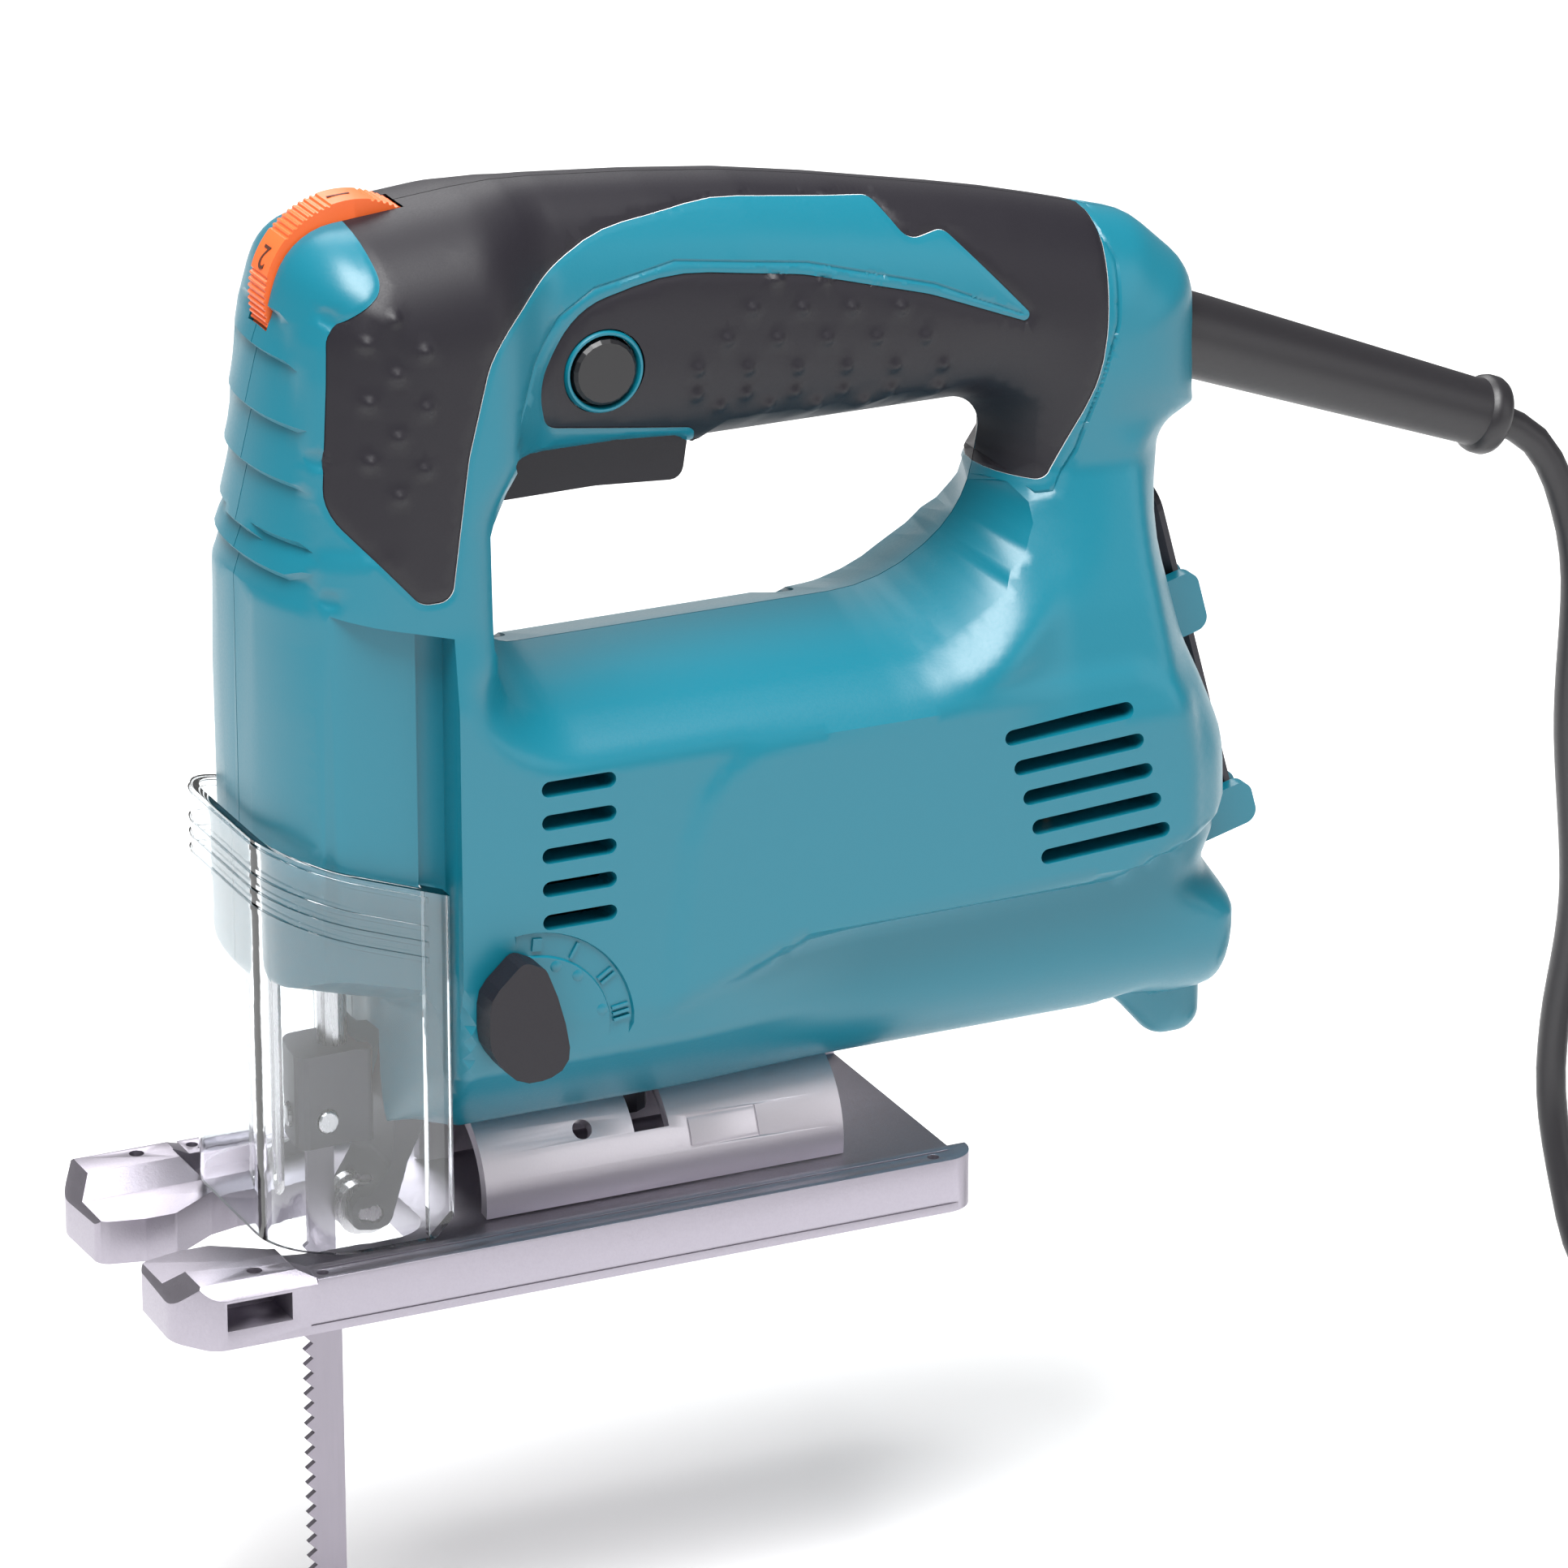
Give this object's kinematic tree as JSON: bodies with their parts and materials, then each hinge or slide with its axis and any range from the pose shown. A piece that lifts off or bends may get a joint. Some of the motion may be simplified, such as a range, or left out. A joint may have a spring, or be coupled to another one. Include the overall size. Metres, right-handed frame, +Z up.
{
  "type": "jigsaw power tool",
  "caption": "Corded jigsaw with a closed D-handle, reciprocating blade, tilting shoe, sliding clear dust cover and orbital guide roller.",
  "frame": {"origin": "on the shoe's sole, in the plane of the blade, 36 mm behind the blade's back edge", "axes": "+Z up from the sole along the blade's stroke, -X towards the front of the saw (teeth), +Y towards the user's left when looking along -X"},
  "size_m": [0.4293, 0.1095, 0.2781],
  "materials": {
    "teal_nylon": "fine moulded satin texture",
    "charcoal_elastomer": "moulded-on soft grip",
    "clear_polycarbonate": "clear moulded",
    "pressed_aluminium": "die-cast and tumbled",
    "cast_aluminium": "die-cast",
    "bright_steel": "ground",
    "blade_steel": "ground and set teeth",
    "blackened_steel": "blackened",
    "black_nylon": "moulded",
    "black_pvc": "moulded and extruded",
    "orange_acetal": "moulded",
    "copper_winding": "enamelled copper",
    "brass": "drawn",
    "carbon": "pressed",
    "white_nylon": "moulded",
    "lamination_steel": "stamped and stacked"
  },
  "bodies": {
    "housing": {"housing_left": "teal_nylon", "housing_right": "teal_nylon", "grip_left": "charcoal_elastomer", "grip_right": "charcoal_elastomer", "stator_core": "lamination_steel", "field_coil_front": "copper_winding", "field_coil_rear": "copper_winding", "front_bearing": "bright_steel", "rear_bearing": "bright_steel", "brush_holder_left": "brass", "brush_holder_right": "brass", "brush_left": "carbon", "brush_right": "carbon", "switch_body": "black_nylon", "speed_module": "white_nylon", "upper_bushing": "brass", "lower_bushing": "brass", "gear_axle": "bright_steel", "wire_guard": "bright_steel", "cord_clamp": "black_nylon", "cord_guard": "black_pvc", "bolt_nut": "bright_steel", "bevel_bolt": "blackened_steel", "fork_pin": "bright_steel", "cord_tube": "black_pvc", "cord_coil": "black_pvc", "cord_tail": "black_pvc", "plug": "black_pvc", "housing_screw_1": "blackened_steel", "housing_screw_2": "blackened_steel", "housing_screw_3": "blackened_steel", "housing_screw_4": "blackened_steel", "housing_screw_5": "blackened_steel", "housing_screw_6": "blackened_steel", "housing_screw_7": "blackened_steel"},
    "plunger": {"saw_blade": "blade_steel", "blade_clamp": "blackened_steel", "clamp_screw_front": "blackened_steel", "clamp_screw_side": "blackened_steel", "plunger_rod": "bright_steel", "crosshead": "bright_steel"},
    "crank": {"crank_gear": "bright_steel", "crank_pin": "bright_steel"},
    "armature": {"motor_shaft": "bright_steel", "armature_core": "lamination_steel", "commutator": "copper_winding", "cooling_fan": "black_nylon", "pinion": "bright_steel"},
    "dust_cover": {"dust_cover": "clear_polycarbonate"},
    "trigger": {"trigger": "charcoal_elastomer"},
    "lock_button": {"lock_button": "black_nylon"},
    "speed_dial": {"speed_dial": "orange_acetal"},
    "orbit_lever": {"orbit_lever": "charcoal_elastomer", "orbit_shaft": "bright_steel"},
    "roller_fork": {"roller_fork": "blackened_steel", "roller_pin": "bright_steel"},
    "guide_roller": {"guide_roller": "bright_steel"},
    "shoe": {"shoe": "pressed_aluminium", "bevel_support": "cast_aluminium"},
    "hex_wrench": {"hex_wrench": "blackened_steel"}
  },
  "joints": [
    {"name": "blade_stroke", "type": "slide", "parent": "housing", "child": "plunger", "axis": [0, 0, 1], "range_m": [-0.009, 0.009]},
    {"name": "crank_spin", "type": "hinge", "parent": "housing", "child": "crank", "pos_m": [-0.022, 0, 0.093], "axis": [1, 0, 0], "continuous": true},
    {"name": "armature_spin", "type": "hinge", "parent": "housing", "child": "armature", "pos_m": [0, 0, 0.072], "axis": [1, 0, 0], "continuous": true},
    {"name": "shoe_bevel", "type": "hinge", "parent": "housing", "child": "shoe", "pos_m": [0, 0, 0.01], "axis": [1, 0, 0], "range_deg": [0, 45]},
    {"name": "dust_cover_slide", "type": "slide", "parent": "housing", "child": "dust_cover", "axis": [0, 0, 1], "range_m": [0, 0.028]},
    {"name": "trigger_pull", "type": "hinge", "parent": "housing", "child": "trigger", "pos_m": [-0.004, 0, 0.152], "axis": [0, -1, 0], "range_deg": [0, 7], "stiffness_Nm_per_rad": 0.3, "springref_deg": -11.46},
    {"name": "lock_button_press", "type": "slide", "parent": "housing", "child": "lock_button", "axis": [0, 1, 0], "range_m": [0, 0.003], "stiffness_N_per_m": 300, "springref_m": -0.002},
    {"name": "speed_dial_turn", "type": "hinge", "parent": "housing", "child": "speed_dial", "pos_m": [-0.0316, 0, 0.1832], "axis": [0, 1, 0], "range_deg": [0, 260]},
    {"name": "orbit_lever_turn", "type": "hinge", "parent": "housing", "child": "orbit_lever", "pos_m": [-0.0115, 0, 0.0475], "axis": [0, 1, 0], "range_deg": [0, 90]},
    {"name": "fork_swing", "type": "hinge", "parent": "housing", "child": "roller_fork", "pos_m": [-0.021, 0, 0.0375], "axis": [0, -1, 0], "range_deg": [0, 4]},
    {"name": "roller_spin", "type": "hinge", "parent": "roller_fork", "child": "guide_roller", "pos_m": [-0.0319, 0, 0.008], "axis": [0, 1, 0], "continuous": true},
    {"name": "wrench_tip", "type": "hinge", "parent": "housing", "child": "hex_wrench", "pos_m": [0.1452, 0, 0.0595], "axis": [0, 1, 0], "range_deg": [0, 20]}
  ],
  "couplings": [
    {"joint": "armature_spin", "follows": "crank_spin", "ratio": -5},
    {"joint": "dust_cover_slide", "follows": "shoe_bevel", "m_per_rad": 0.0356}
  ]
}
